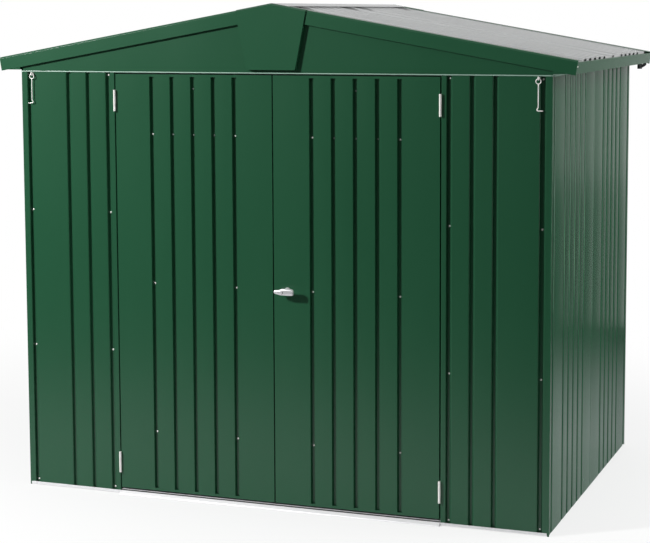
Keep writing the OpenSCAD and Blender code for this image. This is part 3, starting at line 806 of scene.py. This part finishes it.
def swept_tube(path: Sequence[Vector], radius: float, sides: int = 16, closed: bool = False) -> Mesh:
    """A round bar along a path, with domed ends unless it is closed.

    Args:
        path: the centre line's points.
        radius: the bar's radius.
        sides: sides round the bar.
        closed: whether the path is a loop.

    Returns:
        The mesh.
    """
    bm = bmesh.new()
    count = len(path)
    rings = []
    dome = (0.45, 0.9, 1.35)

    def ring(centre: Vector, along: Vector, size: float) -> list[bmesh.types.BMVert]:
        """One ring of points across the path."""
        across = along.cross(Vector((0.0, 1.0, 0.0))).normalized()
        up = across.cross(along).normalized()
        turn = [2.0 * math.pi * i / sides for i in range(sides)]
        return [bm.verts.new(centre + across * (size * math.cos(a)) + up * (size * math.sin(a)))
                for a in turn]

    for i, point in enumerate(path):
        before = path[i - 1] if closed or i > 0 else path[0]
        after = path[(i + 1) % count] if closed or i < count - 1 else path[-1]
        along = (after - before).normalized()
        if not closed and i == 0:
            rings += [ring(point - along * (radius * math.sin(a)), along, radius * math.cos(a))
                      for a in reversed(dome)]
        rings.append(ring(point, along, radius))
        if not closed and i == count - 1:
            rings += [ring(point + along * (radius * math.sin(a)), along, radius * math.cos(a)) for a in dome]
    skin(bm, rings, closed)
    return bm


def rounded_path(corners: Sequence[Vector], radius: float, steps: int = 6) -> list[Vector]:
    """Rounds the corners of a bent wire.

    Args:
        corners: the wire's corner points.
        radius: bend radius along each leg.
        steps: points on each bend.

    Returns:
        The points of the rounded path.
    """
    points = [corners[0]]
    for before, corner, after in zip(corners, corners[1:], corners[2:]):
        reach = min(radius, (before - corner).length * 0.45, (after - corner).length * 0.45)
        start = corner + (before - corner).normalized() * reach
        end = corner + (after - corner).normalized() * reach
        for i in range(steps + 1):
            t = i / steps
            points.append(start * (1 - t) ** 2 + corner * (2 * t * (1 - t)) + end * t ** 2)
    points.append(corners[-1])
    return points


# ---- sub-assemblies


@dataclass
class Shell:
    """Posts, wall sheets, base, rails, gables, verges, gutters and roof: everything that stands still."""

    shop: Workshop
    plan: Plan
    body: str = "shell"
    sheet_bends: Bends = Bends(fold=3.0 * MM, steps=4)
    roof_bends: Bends = Bends()
    bar_bends: Bends = Bends(fold=0.8 * MM, rim=0.3 * MM, narrow=1.8 * MM)
    trim_bends: Bends = Bends(fold=2.2 * MM, rim=0.4 * MM, narrow=3.0 * MM)

    def build(self) -> None:
        """Dresses every still sheet."""
        plan = self.plan
        panels = [f"front_{side}_panel" for side in SIDES]
        rear = [f"back_wall_{part}_sheet" for part in ("left", "middle", "right")]
        posts = [f"{end}_{side}_corner_post" for end in ENDS for side in SIDES]
        verges = [f"{end}_{part}" for part in ("barge_boards", "gable_cap") for end in ENDS]
        walls = [f"{side}_wall_{end}_sheet" for side in SIDES for end in ENDS]
        slopes = [f"{side}_roof_{end}_sheet" for side in SIDES for end in ENDS]
        groups = (
            (panels + rear, plan.front_paint(), self.sheet_bends),
            (walls, plan.side_paint(), self.sheet_bends),
            ([f"{end}_gable" for end in ENDS], GREEN, self.roof_bends),
            (posts + ["door_jambs", "side_base_rails"], GREEN, self.trim_bends),
            # The top rails take the pale coat that paints their lips' highlight.
            ([f"{edge}_top_rail" for edge in (*ENDS, *SIDES)], RAIL_HIGHLIGHT, self.trim_bends),
            (verges + [f"{side}_gutter" for side in SIDES], GREEN_TRIM, self.trim_bends),
            (slopes + ["ridge_beam"], ROOF, self.roof_bends),
            # The ridge cap takes the paler coat that paints its highlight.
            (["ridge_cap"], RIDGE_CAP_HIGHLIGHT, self.roof_bends),
            (["front_base_rails", "back_base_rail", "door_sill"], SILL, self.bar_bends),
        )
        for nodes, finish, bends in groups:
            for node in nodes:
                self.shop.sheet(node, self.body, finish, bends)


@dataclass
class Fasteners:
    """Screws and rivets, joined into one mesh for each body and finish."""

    shop: Workshop
    plan: Plan
    head_radius: float = 3.9 * MM
    rivet_radius: float = 4.0 * MM
    screw_heights: tuple[float, ...] = (24 * MM, 607 * MM, 1183 * MM, 1750 * MM)
    gutter_step: float = 7.0 * MM
    gutter_sink: float = 3.4 * MM
    brace_drop: float = 244 * MM
    brace_lift: float = 248 * MM
    middle_lift: float = 870 * MM
    head_drop: float = 58 * MM

    def screw(self) -> Mesh:
        """A pan head with a round drive recess."""
        r = self.head_radius
        return lathe([(0.0, 0.6 * MM), (0.35 * r, 0.6 * MM), (0.4 * r, 1.9 * MM), (0.6 * r, 1.9 * MM),
                      (0.85 * r, 1.5 * MM), (r, 0.7 * MM), (r, -0.4 * MM), (0.0, -0.4 * MM)], 20)

    def rivet(self) -> Mesh:
        """A domed blind rivet with its drawn stem."""
        r = self.rivet_radius
        return lathe([(0.0, 1.6 * MM), (0.3 * r, 1.6 * MM), (0.34 * r, 2.4 * MM), (0.65 * r, 2.1 * MM),
                      (0.92 * r, 1.3 * MM), (r, 0.5 * MM), (r, -0.3 * MM), (0.0, -0.3 * MM)], 16)

    def wall_places(self) -> list[Matrix]:
        """Screws in the channels where posts and sheets join."""
        plan = self.plan
        places = []
        half_panel = CORNER + STEPS / 2.0 * plan.spacing
        for z in self.screw_heights:
            for side, end in ((-1, Wall.LEFT), (1, Wall.RIGHT)):
                for wall, face, lines in ((Wall.FRONT, plan.front, (CORNER, half_panel)),
                                          (Wall.BACK, plan.back, (CORNER,))):
                    depth = face - wall.outward.y * plan.groove
                    places += [facing((side * (plan.half_width - line), depth, z), wall.outward)
                               for line in lines]
                places += [facing((side * (plan.half_width - plan.groove), y, z), end.outward)
                           for y in (plan.front + CORNER, plan.back - CORNER)]
        return places

    def gutter_places(self) -> list[Matrix]:
        """One screw through each gutter's outer face, just behind each barge board."""
        low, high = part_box("right_gutter")
        middle = (low.z + high.z) / 2.0
        return [facing((end.outward.x * (high.x - self.gutter_sink), y, middle), end.outward)
                for end in (Wall.LEFT, Wall.RIGHT)
                for y in (low.y + self.gutter_step, high.y - self.gutter_step)]

    def leaf_places(self, leaf: str, bright: bool) -> list[Matrix]:
        """Rivets that hold a leaf's braces, in its groove floors.

        Args:
            leaf: the leaf's node.
            bright: the ones in the outer grooves, in the lit zinc; or else the ones between, in a darker zinc
                that paints their shade in the grooves.

        Returns:
            Their places.
        """
        low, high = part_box(leaf)
        middle, depth = (low.x + high.x) / 2.0, low.y + self.plan.groove
        top = high.z - self.brace_drop
        if bright:
            rows = ((top, (-2, 2)), (low.z + self.brace_lift, (-2, 2)), (low.z + self.middle_lift, (-2, 2)))
        else:
            rows = ((top, (-1, 0, 1)), (high.z - self.head_drop, (0,)))
        return [facing((middle + k * self.plan.spacing, depth, z), Wall.FRONT.outward)
                for z, grooves in rows for k in grooves]

    def joined(self, name: str, pattern: Mesh, places: list[Matrix], body: str,
               finish: Finish) -> None:
        """Makes one piece of many like fasteners.

        Args:
            name: the piece's name.
            pattern: one fastener.
            places: where each goes.
            body: the body they move with.
            finish: their finish.
        """
        self.shop.piece(name, copied(pattern, places), body, finish, 40.0)

    def build(self) -> None:
        """Makes all of them."""
        self.joined("wall_screws", self.screw(), self.wall_places() + self.gutter_places(), "shell", ZINC)
        for side in SIDES:
            body = side + "_door"
            # The rivets between the outer grooves take the darker zinc, which paints their shade.
            for ending, bright, finish in (("_rivets", True, ZINC), ("_rivets_painted_shade", False, SHADED_ZINC)):
                self.joined(body + ending, self.rivet(), self.leaf_places(body, bright), body, finish)


@dataclass
class DoorPair:
    """Both leaves and their hinges, with black strips that paint the shade of the gap under each leaf and of
    the sill's groove.
    """

    shop: Workshop
    plan: Plan
    leaf_bends: Bends = Bends(fold=2.6 * MM, rim=0.3 * MM, steps=4)
    hinge_bends: Bends = Bends(fold=0.5 * MM, rim=0.2 * MM, steps=2, smooth=True)
    # Sizes of the black strips that paint the shade under the leaves and in the sill's groove.
    painted_shade_strip_back: float = 9.8 * MM
    painted_shade_strip_depth: float = 3.0 * MM
    painted_shade_strip_gap: float = 0.7 * MM
    painted_shade_strip_end: float = 0.2 * MM
    painted_shade_strip_overlap: float = 0.5 * MM
    groove_painted_shade: tuple[float, float] = (0.4 * MM, 6.6 * MM)
    groove_painted_shade_end: float = 3.0 * MM
    groove_painted_shade_foot: float = 5.2 * MM
    groove_painted_shade_drop: float = 2.2 * MM
    painted_shade_strip_ease: float = 0.4 * MM

    def painted_shade_strip(self, name: str, body: str, low: Vector, high: Vector) -> None:
        """Makes one black strip: painted shade for a gap.

        Args:
            name: the piece's name.
            body: the body that it moves with.
            low: its lowest corner.
            high: its highest corner.
        """
        self.shop.piece(name, eased_box(low, high, self.painted_shade_strip_ease), body, BLACK_AND_PAINTED_SHADE)

    def build(self) -> None:
        """Dresses the leaves and hinges, and makes the black strips of painted shade."""
        paint = self.plan.leaf_paint()
        sill_low, sill_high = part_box("door_sill")
        near, far = (self.plan.front + step for step in self.groove_painted_shade)
        # A black strip in the sill's groove: painted shade.
        self.painted_shade_strip("sill_groove_painted_shade", "shell",
                  Vector((sill_low.x + self.groove_painted_shade_end, near, sill_low.z + self.groove_painted_shade_foot)),
                  Vector((sill_high.x - self.groove_painted_shade_end, far, sill_high.z - self.groove_painted_shade_drop)))
        for side in SIDES:
            body = side + "_door"
            self.shop.sheet(body, body, paint, self.leaf_bends)
            low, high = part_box(body)
            back = low.y + self.painted_shade_strip_back
            # A black strip behind each leaf's foot: painted shade for the gap under the leaf.
            self.painted_shade_strip(body + "_foot_painted_shade_strip", body,
                      Vector((low.x + self.painted_shade_strip_end, back, sill_high.z + self.painted_shade_strip_gap)),
                      Vector((high.x - self.painted_shade_strip_end, back + self.painted_shade_strip_depth, low.z + self.painted_shade_strip_overlap)))
            self.shop.sheet(body + "_hinges", body, ZINC, self.hinge_bends)
        self.shop.sheet("fixed_hinge_leaves", "shell", ZINC, self.hinge_bends)


@dataclass
class TurnHandle:
    """The cast turn handle with its lock cylinder, and the rose behind it."""

    shop: Workshop
    stations: tuple[tuple[float, float, float], ...] = (
        (0.0, 5.0, -4.6), (1.6, 7.0, -6.6), (6.0, 7.8, -7.6), (14.0, 8.4, -9.4), (22.0, 9.4, -11.4),
        (30.0, 12.6, -12.8), (36.0, 14.6, -13.0), (60.0, 14.8, -13.0), (75.0, 14.0, -12.8),
        (79.4, 12.4, -11.4), (80.8, 9.0, -8.6))
    depth: float = 17.0 * MM
    roundness: tuple[float, float] = (0.55, 0.7)
    grip_sides: int = 24
    neck_radius: float = 8.0 * MM
    neck_foot: float = 9.2 * MM
    spindle: tuple[float, float] = (6.0 * MM, 27.0 * MM)
    cam_tail: float = 9.0 * MM
    cam_half_height: float = 9.0 * MM
    cam_depth: float = 4.0 * MM
    cam_ease: float = 1.2 * MM
    lock_radius: float = 7.8 * MM
    lock_rise: float = 0.6 * MM
    lock_sunk: float = 3.0 * MM
    lock_seat: float = 0.4 * MM
    lock_offset: tuple[float, float] = (3.3 * MM, 1.0 * MM)
    keyway_half: tuple[float, float] = (1.5 * MM, 4.0 * MM)
    keyway_out: float = 0.5 * MM
    play: float = 0.3 * MM
    low: Vector = field(init=False)
    high: Vector = field(init=False)
    centre: Vector = field(init=False)
    lock: Vector = field(init=False)

    def __post_init__(self) -> None:
        """Reads the places of the handle and its rose from the frame."""
        self.low, self.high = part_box("turn_handle")
        rose_low, rose_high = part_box("handle_rose")
        self.centre = Vector(((rose_low.x + rose_high.x) / 2.0, rose_low.y - self.play,
                              (rose_low.z + rose_high.z) / 2.0))
        across, down = self.lock_offset
        self.lock = Vector((self.centre.x - across, self.low.y, self.centre.z - down))

    def grip(self) -> Mesh:
        """The grip, lofted through its stations."""
        bm = bmesh.new()
        middle_y = self.low.y + self.depth / 2.0
        flat, full = self.roundness
        turn = [2.0 * math.pi * i / self.grip_sides for i in range(self.grip_sides)]
        rings = []
        for along, top, foot in self.stations:
            half = (top - foot) / 2.0 * MM
            mid = self.centre.z + (top + foot) / 2.0 * MM
            shrink = min(1.0, 0.55 + half / (14.0 * MM) * 0.5)
            ring = []
            for angle in turn:
                c, s = math.cos(angle), math.sin(angle)
                y = middle_y + math.copysign(abs(c) ** flat, c) * self.depth / 2.0 * shrink
                z = mid + math.copysign(abs(s) ** full, s) * half
                ring.append(bm.verts.new((self.low.x + along * MM, y, z)))
            rings.append(ring)
        skin(bm, rings)
        return bm

    def casting(self) -> Mesh:
        """The grip with the neck that joins it to the rose."""
        bm = self.grip()
        length = self.centre.y - (self.low.y + self.depth * 0.7)
        neck = lathe([(0.0, length), (self.neck_radius, length), (self.neck_radius, 3.0 * MM),
                      (self.neck_foot, 0.8 * MM), (self.neck_foot, 0.0), (0.0, 0.0)], 40)
        add_copies(bm, neck, [facing(self.centre, Wall.FRONT.outward)])
        return bm

    def shaft(self) -> Mesh:
        """The spindle behind the neck."""
        radius, length = self.spindle
        rod = lathe([(0.0, 0.0), (radius, 0.0), (radius, length), (0.0, length)], 32)
        return copied(rod, [facing(self.centre, Wall.BACK.outward)])

    def cam(self) -> Mesh:
        """The bar at the spindle's inner end."""
        centre, inner = self.centre, self.high.y
        return eased_box(Vector((self.low.x, inner - self.cam_depth, centre.z - self.cam_half_height)),
                         Vector((centre.x + self.cam_tail, inner, centre.z + self.cam_half_height)),
                         self.cam_ease, 2)

    def cylinder(self) -> Mesh:
        """The lock cylinder in the grip's face."""
        r = self.lock_radius
        barrel = lathe([(0.0, self.lock_rise), (r - 0.6 * MM, self.lock_rise), (r, 0.0), (r, -self.lock_sunk),
                        (0.0, -self.lock_sunk)], 40)
        return copied(barrel, [facing(self.lock + Vector((0.0, self.lock_seat, 0.0)), Wall.FRONT.outward)])

    def keyway(self) -> Mesh:
        """A black block on the cylinder's face: painted shade for the inside of the keyhole."""
        half = Vector((self.keyway_half[0], 0.0, self.keyway_half[1]))
        return eased_box(self.lock - half - Vector((0.0, self.keyway_out, 0.0)), self.lock + half, 0.2 * MM)

    def build(self) -> None:
        """Makes the handle's pieces."""
        pieces = (
            ("turn_handle_casting", self.casting(), 50.0, CHROME, ("turn_handle",)),
            ("turn_handle_spindle", self.shaft(), 40.0, ZINC, ()),
            ("turn_handle_cam", self.cam(), 0.0, ZINC, ()),
            ("lock_cylinder", self.cylinder(), 40.0, CHROME, ()),
            # The keyway is a black block that paints the keyhole's shade.
            ("keyway", self.keyway(), 0.0, BLACK_AND_PAINTED_SHADE, ()),
        )
        for name, bm, smooth, finish, stands_for in pieces:
            self.shop.piece(name, bm, "turn_handle", finish, smooth, *stands_for)
        self.shop.sheet("handle_rose", "right_door", CHROME, Bends(fold=0.8 * MM, rim=0.3 * MM, smooth=True))


@dataclass
class Hooks:
    """Wire hooks that hold the doors open, hanging in their eyes."""

    shop: Workshop
    wire: float = 1.8 * MM
    cad_wire: float = 2.2 * MM
    ring: float = 9.6 * MM
    eye_wire: float = 2.0 * MM
    eye: float = 6.0 * MM
    disc: float = 5.0 * MM
    drop: float = 1.5 * MM
    bend: float = 5.0 * MM
    elbow: tuple[float, float] = (0.0, 12.0 * MM)
    heel: tuple[float, float] = (-5.2 * MM, 5.0 * MM)
    sole: tuple[float, float] = (-3.0 * MM, 0.0)
    toe: tuple[float, float] = (17.0 * MM, 0.0)

    @staticmethod
    def circle(radius: float, steps: int = 40) -> list[Vector]:
        """Points of a circle in the X-Z plane.

        Args:
            radius: its radius.
            steps: number of points.

        Returns:
            The points.
        """
        turn = [2.0 * math.pi * i / steps for i in range(steps)]
        return [Vector((radius * math.cos(a), 0.0, radius * math.sin(a))) for a in turn]

    def hook(self, side: int, length: float) -> Mesh:
        """One hook around its ring's centre.

        Args:
            side: 1 for the right hook, -1 for the left.
            length: from the ring's centre to the foot's line.

        Returns:
            The mesh.
        """
        bm = swept_tube(self.circle(self.ring), self.wire, closed=True)
        bent = [Vector((side * x, 0.0, z - length)) for x, z in (self.elbow, self.heel, self.sole, self.toe)]
        path = rounded_path([Vector((0.0, 0.0, -self.ring))] + bent, self.bend)
        add_copies(bm, swept_tube(path, self.wire), [Matrix.Identity(4)])
        return bm

    def build(self) -> None:
        """Makes the hooks and eyes."""
        low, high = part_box("hook_eyes")
        reach = self.eye + self.eye_wire
        centre = Vector((high.x - self.disc, low.y + reach, high.z - reach))
        spots = {name: Vector((side * centre.x, centre.y, centre.z)) for name, side in SIDES.items()}
        loop = swept_tube(self.circle(self.eye, 32), self.eye_wire, closed=True)
        plate = lathe([(0.0, 1.5 * MM), (0.8 * self.disc, 1.5 * MM), (self.disc, 0.6 * MM), (self.disc, 0.0),
                       (0.0, 0.0)])
        wall = Vector((0.0, high.y - centre.y, 0.0))
        eyes = copied(loop, [Matrix.Translation(spot) @ Matrix.Rotation(math.pi / 2.0, 4, "Z")
                             for spot in spots.values()])
        add_copies(eyes, plate, [facing(spot + wall, Wall.FRONT.outward) for spot in spots.values()])
        for name, spot in spots.items():
            node = name + "_hook"
            pivot = spot - Vector((0.0, 0.0, self.drop + self.ring))
            bm = self.hook(SIDES[name], pivot.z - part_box(node)[0].z - self.cad_wire)
            bmesh.ops.translate(bm, vec=pivot, verts=bm.verts)
            self.shop.piece(node + "_wire", bm, node, ZINC, 60.0, node)
        self.shop.piece("hook_eye_pair", eyes, "shell", ZINC, 60.0, "hook_eyes")


@dataclass
class Outlets:
    """Plastic outlets under the gutters, each with a short branch that rises outwards."""

    shop: Workshop
    branch: float = 7.0 * MM
    bend: float = 8.0 * MM
    points: tuple[tuple[float, float], ...] = (
        (16.0 * MM, 9.0 * MM), (2.0 * MM, 13.0 * MM), (-9.0 * MM, 21.0 * MM))

    def build(self) -> None:
        """Dresses the outlets and adds their branches."""
        self.shop.sheet("gutter_spouts", "shell", BLACK_AND_PAINTED_SHADE, Bends(fold=0.6 * MM, rim=0.4 * MM, smooth=True))
        low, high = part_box("gutter_spouts")
        y = (low.y + high.y) / 2.0
        bm = bmesh.new()
        for side in SIDES.values():
            path = [Vector((side * (high.x - reach), y, low.z + height)) for reach, height in self.points]
            add_copies(bm, swept_tube(rounded_path(path, self.bend), self.branch, 20), [Matrix.Identity(4)])
        self.shop.piece("spout_branches", bm, "shell", BLACK_AND_PAINTED_SHADE, 50.0)


# ---- studio


@dataclass(frozen=True)
class Lamp:
    """One area lamp that looks at a point."""

    name: str
    place: tuple[float, float, float]
    target: tuple[float, float, float]
    size: tuple[float, float]
    power: float

    def build(self) -> None:
        """Adds the lamp."""
        data = bpy.data.lights.new(self.name, "AREA")
        data.shape = "RECTANGLE"
        data.size, data.size_y = self.size
        data.energy = self.power
        lamp = bpy.data.objects.new(self.name, data)
        lamp.location = self.place
        aim = Vector(self.target) - Vector(self.place)
        lamp.rotation_euler = aim.to_track_quat("-Z", "Y").to_euler()
        lamp.visible_camera = False
        bpy.context.scene.collection.objects.link(lamp)


@dataclass(frozen=True)
class Studio:
    """Pale floor, surrounding light, lamps and camera."""

    plan: Plan
    floor_radius: float = 14.0
    floor_drop: float = 0.5 * MM
    ground_near: Colour = (0.66, 0.66, 0.68)
    ground_far: Colour = (0.06, 0.06, 0.062)
    ground_seen: Colour = (0.86, 0.86, 0.86)
    sheltered: float = 20.0 * MM
    front_level: float = 0.07
    back_level: float = 0.22
    top_level: float = 0.45
    lens: float = 96.1
    shift: tuple[float, float] = (0.0008, -0.12)
    eye: tuple[float, float, float] = (2.5982, -7.1095, 1.9972)
    tilt: tuple[float, float, float] = (84.077, 0.237, 20.487)

    LAMPS = (
        Lamp("key_lamp", (-3.49, -4.19, 3.51), (0.0, -0.77, 1.0), (0.47, 0.47), 338.0),
        Lamp("side_lamp", (4.2, 0.3, 3.4), (1.1, 0.0, 1.2), (2.4, 2.4), 100.0),
        Lamp("side_panel", (4.3, -0.9, 1.15), (1.1, -0.2, 1.15), (0.9, 1.7), 40.0),
        Lamp("back_panel", (-0.75, 3.3, 1.75), (-0.75, 0.0, 1.75), (4.8, 3.3), 22.5),
    )

    def world(self) -> None:
        """Surrounding light: dim in front, paler above, and white as a background."""
        world = bpy.data.worlds.new("studio")
        world.use_nodes = True
        bpy.context.scene.world = world
        shader = Shader(world.node_tree)
        direction = shader.node("ShaderNodeTexCoord").outputs["Generated"]
        back = shader.part(direction, 1).rise(-0.6, 0.5)
        above = shader.part(direction, 2).rise(0.1, 0.9)
        level = self.front_level + back * (self.back_level - self.front_level)
        level = level + above * (self.top_level - self.back_level)
        lit = shader.node("ShaderNodeBackground", None, {"Color": (1.0, 1.0, 1.0, 1.0), "Strength": level})
        plain = shader.node("ShaderNodeBackground", None, {"Color": (1.0, 1.0, 1.0, 1.0), "Strength": 1.0})
        seen = shader.node("ShaderNodeLightPath").outputs["Is Camera Ray"]
        mixed = shader.node("ShaderNodeMixShader", None, {0: seen, 1: lit.outputs[0], 2: plain.outputs[0]})
        shader.output(mixed.outputs[0], "ShaderNodeOutputWorld")

    def indoors(self, shader: Shader) -> Value:
        """Marks the ground between the walls.

        Args:
            shader: the floor's tree.

        Returns:
            1 between the walls, 0 outside.
        """
        plan = self.plan
        middle = (plan.front + plan.back) / 2.0
        across = shader.part(shader.place(), 0).absolute().under(plan.half_width - self.sheltered)
        half_depth = plan.back - middle - self.sheltered
        along = (shader.part(shader.place(), 1) - middle).absolute().under(half_depth)
        return across * along

    def floor(self) -> None:
        """A pale round floor that fades into the background, and takes plain light between the walls."""
        bm = bmesh.new()
        bmesh.ops.create_circle(bm, cap_ends=True, segments=96, radius=self.floor_radius)
        made = Workshop.finish_mesh("studio_floor", bm)
        made.location.z = -self.floor_drop
        material = bpy.data.materials.new("studio_floor")
        material.use_nodes = True
        shader = Shader(material.node_tree)
        place = shader.place((1.0, 1.3, 1.0))
        length = shader.node("ShaderNodeVectorMath", {"operation": "LENGTH"}, {0: place})
        away = Value(shader, length.outputs["Value"])
        seen = Value(shader, shader.node("ShaderNodeLightPath").outputs["Is Camera Ray"])
        near = 1.0 - away.rise(1.2, 5.5)
        pale = shader.tint(self.ground_far, self.ground_near, near)
        ground = shader.node("ShaderNodeBsdfDiffuse", None, {
            "Color": shader.node("ShaderNodeMix", {"data_type": "RGBA"},
                                 {0: seen, 6: pale, 7: (*self.ground_seen, 1.0)}).outputs[2]})
        glow = shader.node("ShaderNodeEmission", None, {"Color": (1.0, 1.0, 1.0, 1.0), "Strength": 1.0})
        fade = (away.rise(0.8, 4.5) * 0.3 + 0.7) * (1.0 - self.indoors(shader))
        mixed = shader.node("ShaderNodeMixShader", None,
                            {0: fade * seen, 1: ground.outputs[0], 2: glow.outputs[0]})
        shader.output(mixed.outputs[0])
        made.data.materials.append(material)

    def camera(self) -> None:
        """The camera, a little right of the middle, with a rising lens that keeps the walls upright."""
        data = bpy.data.cameras.new("camera")
        data.lens = self.lens
        data.sensor_width = 36.0
        data.shift_x, data.shift_y = self.shift
        data.clip_end = 200.0
        camera = bpy.data.objects.new("camera", data)
        camera.location = self.eye
        camera.rotation_euler = Euler([math.radians(angle) for angle in self.tilt], "XYZ")
        bpy.context.scene.collection.objects.link(camera)
        bpy.context.scene.camera = camera

    def build(self) -> None:
        """Sets up the studio."""
        bpy.context.scene.view_settings.view_transform = "Standard"
        self.world()
        self.floor()
        for lamp in self.LAMPS:
            lamp.build()
        self.camera()


def main() -> None:
    """Builds the whole visual model, one sub-assembly after another."""
    logging.basicConfig(level=logging.INFO, format="%(name)s: %(message)s")
    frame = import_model()
    shop = Workshop(frame["nodes"])
    plan = Plan.from_frame()
    Studio(plan).build()
    Shell(shop, plan).build()
    DoorPair(shop, plan).build()
    TurnHandle(shop).build()
    Hooks(shop).build()
    Outlets(shop).build()
    Fasteners(shop, plan).build()


if __name__ == "__main__":
    main()
